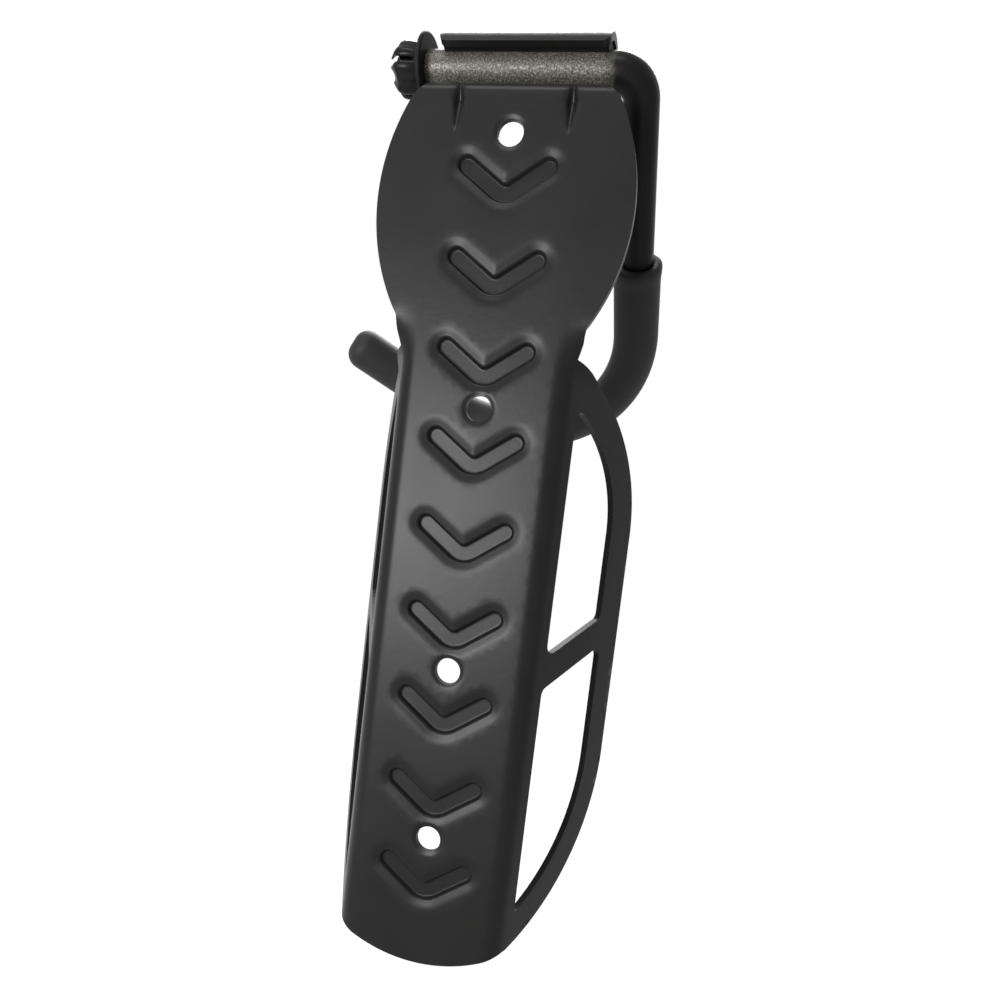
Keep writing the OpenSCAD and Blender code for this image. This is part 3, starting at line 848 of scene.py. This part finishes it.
def tinted(tree, fac, base, low, high):
    """The base colour, scaled by low where the pattern is low and by high where it is high."""
    return ramp(tree, fac, [(0.3, shade(base, low)), (0.7, shade(base, high))])


def powder_coat(f):
    """Fine-grained semi-matt black powder coat, a little uneven in tone, with an orange-peel skin."""
    made, tree, shader, where = finish("powder_coat_black")
    cloud = grain(tree, where, 38.0, 4.0)
    tree.links.new(tinted(tree, cloud, f.coat, 0.86, 1.14), shader.inputs["Base Color"])
    fine = grain(tree, where, 1500.0, 2.0)
    peel = grain(tree, where, 420.0, 2.0)
    tree.links.new(between(tree, cloud, 0.32, 0.40), shader.inputs["Roughness"])
    first = bump(tree, peel, 0.12, 0.0002)
    tree.links.new(bump(tree, fine, 0.32, 0.00006, first), shader.inputs["Normal"])
    shader.inputs["Specular IOR Level"].default_value = 0.12
    return made


def rod_steel(f):
    """Satin black coat, worn through to speckled warm grey steel where the rod turns in the curl."""
    made, tree, shader, where = finish("rod_satin_black")
    parts = tree.nodes.new("ShaderNodeSeparateXYZ")
    tree.links.new(where, parts.inputs[0])
    x, y, z = parts.outputs
    dy = math_node(tree, "SUBTRACT", y, HINGE[1] * MM)
    dz = math_node(tree, "SUBTRACT", z, HINGE[2] * MM)
    dy2 = math_node(tree, "MULTIPLY", dy, dy)
    dz2 = math_node(tree, "MULTIPLY", dz, dz)
    out = math_node(tree, "SQRT", math_node(tree, "ADD", dy2, dz2))
    # the bare stretch in metres: its radius about the hinge line, where it fades in along the
    # line, and how far the coat's edge wanders
    bare_r, coated_x, bare_x, wander = 0.0072, -0.0335, -0.0285, 0.006
    barrel = math_node(tree, "LESS_THAN", out, bare_r)
    noise = math_node(tree, "SUBTRACT", grain(tree, where, 260.0), 0.5)
    edge = math_node(tree, "MULTIPLY", noise, wander)
    x_soft = math_node(tree, "ADD", x, edge)
    fade = between(tree, x_soft, 0.0, 1.0, coated_x, bare_x)
    worn = math_node(tree, "MULTIPLY", barrel, fade)
    bare = tuple(f.bare)
    speckle = grain(tree, where, 1700.0, 3.0, 0.65)
    stops = ((0.36, 0.3), (0.47, 0.7), (0.55, 1.0), (0.66, 2.2))
    warm = ramp(tree, speckle, [(place, shade(bare, factor)) for place, factor in stops])
    mix = tree.nodes.new("ShaderNodeMix")
    mix.data_type = "RGBA"
    tree.links.new(worn, mix.inputs["Factor"])
    black = tinted(tree, grain(tree, where, 60.0), f.rod, 0.85, 1.2)
    tree.links.new(black, mix.inputs[6])
    tree.links.new(warm, mix.inputs[7])
    tree.links.new(mix.outputs[2], shader.inputs["Base Color"])
    tree.links.new(between(tree, worn, 0.0, 0.35), shader.inputs["Metallic"])
    tree.links.new(between(tree, worn, 0.34, 0.46), shader.inputs["Roughness"])
    tree.links.new(bump(tree, speckle, 0.25, 0.00008), shader.inputs["Normal"])
    shader.inputs["Specular IOR Level"].default_value = 0.08
    return made


def soft_black(f):
    """Matt black soft sleeve with a fine closed-cell grain."""
    made, tree, shader, where = finish("soft_sleeve_black")
    cloud = grain(tree, where, 45.0, 4.0)
    tree.links.new(tinted(tree, cloud, f.sleeve, 0.85, 1.2), shader.inputs["Base Color"])
    tree.links.new(between(tree, cloud, 0.52, 0.64), shader.inputs["Roughness"])
    cells = grain(tree, where, 1900.0, 2.0)
    soft = bump(tree, grain(tree, where, 110.0, 2.0), 0.08, 0.0004)
    tree.links.new(bump(tree, cells, 0.22, 0.00006, soft), shader.inputs["Normal"])
    shader.inputs["Specular IOR Level"].default_value = 0.15
    shader.inputs["Sheen Weight"].default_value = 0.03
    shader.inputs["Sheen Roughness"].default_value = 0.5
    return made


def moulded_black(name, f, roughness):
    """Moulded black plastic of about that roughness."""
    made, tree, shader, where = finish(name)
    cloud = grain(tree, where, 90.0, 3.0)
    tree.links.new(tinted(tree, cloud, f.plastic, 0.85, 1.25), shader.inputs["Base Color"])
    rough = between(tree, cloud, roughness - 0.04, roughness + 0.06)
    tree.links.new(rough, shader.inputs["Roughness"])
    skin = bump(tree, grain(tree, where, 700.0, 2.0), 0.08, 0.00008)
    tree.links.new(skin, shader.inputs["Normal"])
    shader.inputs["Specular IOR Level"].default_value = 0.06
    return made


class RACK_OT_finishes(bpy.types.Operator):
    """Give the rod, the bush and the washer their finishes"""

    bl_idname = "rack.finishes"
    bl_label = "Rod, bush and washer"

    def execute(self, context):
        f = context.scene.rack_finish
        wanted = {
            "hook_rod": rod_steel(f),
            "pivot_bush": moulded_black("bush_plastic", f, 0.5),
            "retaining_washer": moulded_black("washer_coat", f, 0.5),
        }
        for node, made in wanted.items():
            thing = frame["nodes"][node]
            if not thing.material_slots:
                thing.data.materials.append(made)
            for held in thing.material_slots:
                held.material = made
        return {"FINISHED"}


# ---- stage ------------------------------------------------------------------


class RACK_OT_stage(bpy.types.Operator):
    """Set the pale floor, the soft lights, the sky and the camera"""

    bl_idname = "rack.stage"
    bl_label = "Stage"

    def execute(self, context):
        f = context.scene.rack_finish
        # a round floor, in metres, a little below the rack
        floor_z, around = -0.33, 96
        a = np.linspace(0, 2 * math.pi, around, endpoint=False)
        r = np.array([0.0001, 3.0, 9.0])[:, None]
        disc = np.stack([r * np.cos(a), r * np.sin(a), floor_z + 0 * r * a], -1)
        floor = new_object("floor", disc.reshape(-1, 3), ring_faces(len(r), around))
        made, tree, shader, where = finish("pale_floor")
        tone = tinted(tree, grain(tree, where, 3.0), f.floor, 0.985, 1.0)
        tree.links.new(tone, shader.inputs["Base Color"])
        shader.inputs["Roughness"].default_value = 0.8
        away = tree.nodes.new("ShaderNodeVectorMath")
        away.operation = "LENGTH"
        tree.links.new(where, away.inputs[0])
        # the share of plain white grows with the distance, in metres
        near, far = 0.33, 0.85
        share = between(tree, away.outputs["Value"], 0.55, 1.0, near, far)
        show_white(tree, shader.outputs[0], tree.nodes["Material Output"].inputs["Surface"], share)
        floor.data.materials.append(made)

        world = bpy.data.worlds.new("studio")
        context.scene.world = world
        world.use_nodes = True
        tree = world.node_tree
        sky = tree.nodes["Background"]
        sky.inputs["Color"].default_value = (1, 1, 1, 1)
        sky.inputs["Strength"].default_value = 0.35
        show_white(tree, sky.outputs[0], tree.nodes["World Output"].inputs["Surface"], 1.0)

        # name, place, what it points at, width, height and power
        lamps = (
            ("key_lamp", (0.48, 1.1, -0.2), (0.02, 0.0, -0.14), 0.4, 0.5, 29.0),
            ("top_lamp", (0.25, 0.75, 1.05), (0.0, 0.0, -0.1), 0.8, 0.4, 11.0),
            ("front_lamp", (0.24, -0.95, 1.0), (0.0, 0.0, -0.1), 0.7, 0.8, 24.0),
        )
        for name, at, to, wide, tall, power in lamps:
            lamp = bpy.data.lights.new(name, "AREA")
            lamp.shape = "RECTANGLE"
            lamp.size, lamp.size_y = wide, tall
            lamp.energy = power
            thing = bpy.data.objects.new(name, lamp)
            thing.location = at
            thing.rotation_euler = (Vector(to) - Vector(at)).to_track_quat("-Z", "Y").to_euler()
            context.scene.collection.objects.link(thing)

        lens = bpy.data.cameras.new("camera")
        camera = bpy.data.objects.new("camera", lens)
        context.scene.collection.objects.link(camera)
        ahead = Vector((0.1957, -0.9779, -0.0735)).normalized()
        up = Vector((0.1358, -0.0472, 0.9896))
        right = ahead.cross(up).normalized()
        up = right.cross(ahead)
        turn = Matrix((right, up, -ahead)).transposed().to_4x4()
        camera.matrix_world = Matrix.Translation((-0.0858, 0.2726, -0.1326)) @ turn
        lens.sensor_width, lens.lens = 36.0, 28.2
        lens.shift_x, lens.shift_y = -0.043, 0.078
        lens.clip_start = 0.01
        context.scene.camera = camera
        context.scene.view_settings.view_transform = "Standard"
        return {"FINISHED"}


def show_white(tree, shader, out, share):
    """Blends plain white by share over the lit shader, for camera, glossy and transmission rays."""
    path = tree.nodes.new("ShaderNodeLightPath")
    seen = path.outputs["Is Camera Ray"]
    for ray in ("Is Glossy Ray", "Is Transmission Ray"):
        seen = math_node(tree, "MAXIMUM", seen, path.outputs[ray])
    part = math_node(tree, "MULTIPLY", seen, share)
    kind = "ShaderNodeEmission" if tree.nodes.get("Material Output") else "ShaderNodeBackground"
    glow = make_node(tree, kind, Color=(1, 1, 1, 1), Strength=1.0)
    mix = tree.nodes.new("ShaderNodeMixShader")
    tree.links.new(part, mix.inputs[0])
    tree.links.new(shader, mix.inputs[1])
    tree.links.new(glow.outputs[0], mix.inputs[2])
    tree.links.new(mix.outputs[0], out)


# ---- sidebar and running ----------------------------------------------------

STEPS = (RACK_OT_sheet, RACK_OT_sleeve, RACK_OT_retainer, RACK_OT_finishes, RACK_OT_stage)


class RACK_PT_sidebar(bpy.types.Panel):
    """Lists the rack's pieces and their sizes"""

    bl_label = "Wall Rack"
    bl_idname = "RACK_PT_sidebar"
    bl_space_type = "VIEW_3D"
    bl_region_type = "UI"
    bl_category = "Wall Rack"

    def draw(self, context):
        for step in STEPS:
            self.layout.operator(step.bl_idname)
        for name in ("rack_sheet", "rack_hook", "rack_finish"):
            group = getattr(context.scene, name)
            box = self.layout.box()
            for size in group.__annotations__:
                box.prop(group, size)


CLASSES = (RackSheetSettings, RackHookSettings, RackFinishSettings, *STEPS, RACK_PT_sidebar)


def register():
    """Makes the settings, the steps and the sidebar known."""
    for c in CLASSES:
        bpy.utils.register_class(c)
    bpy.types.Scene.rack_sheet = PointerProperty(type=RackSheetSettings)
    bpy.types.Scene.rack_hook = PointerProperty(type=RackHookSettings)
    bpy.types.Scene.rack_finish = PointerProperty(type=RackFinishSettings)


def unregister():
    """Takes the settings, the steps and the sidebar away again."""
    for name in ("rack_sheet", "rack_hook", "rack_finish"):
        delattr(bpy.types.Scene, name)
    for c in reversed(CLASSES):
        bpy.utils.unregister_class(c)


def main():
    """Builds every piece in order."""
    register()
    for step in STEPS:
        group, name = step.bl_idname.split(".")
        getattr(getattr(bpy.ops, group), name)()


if __name__ == "__main__":
    main()
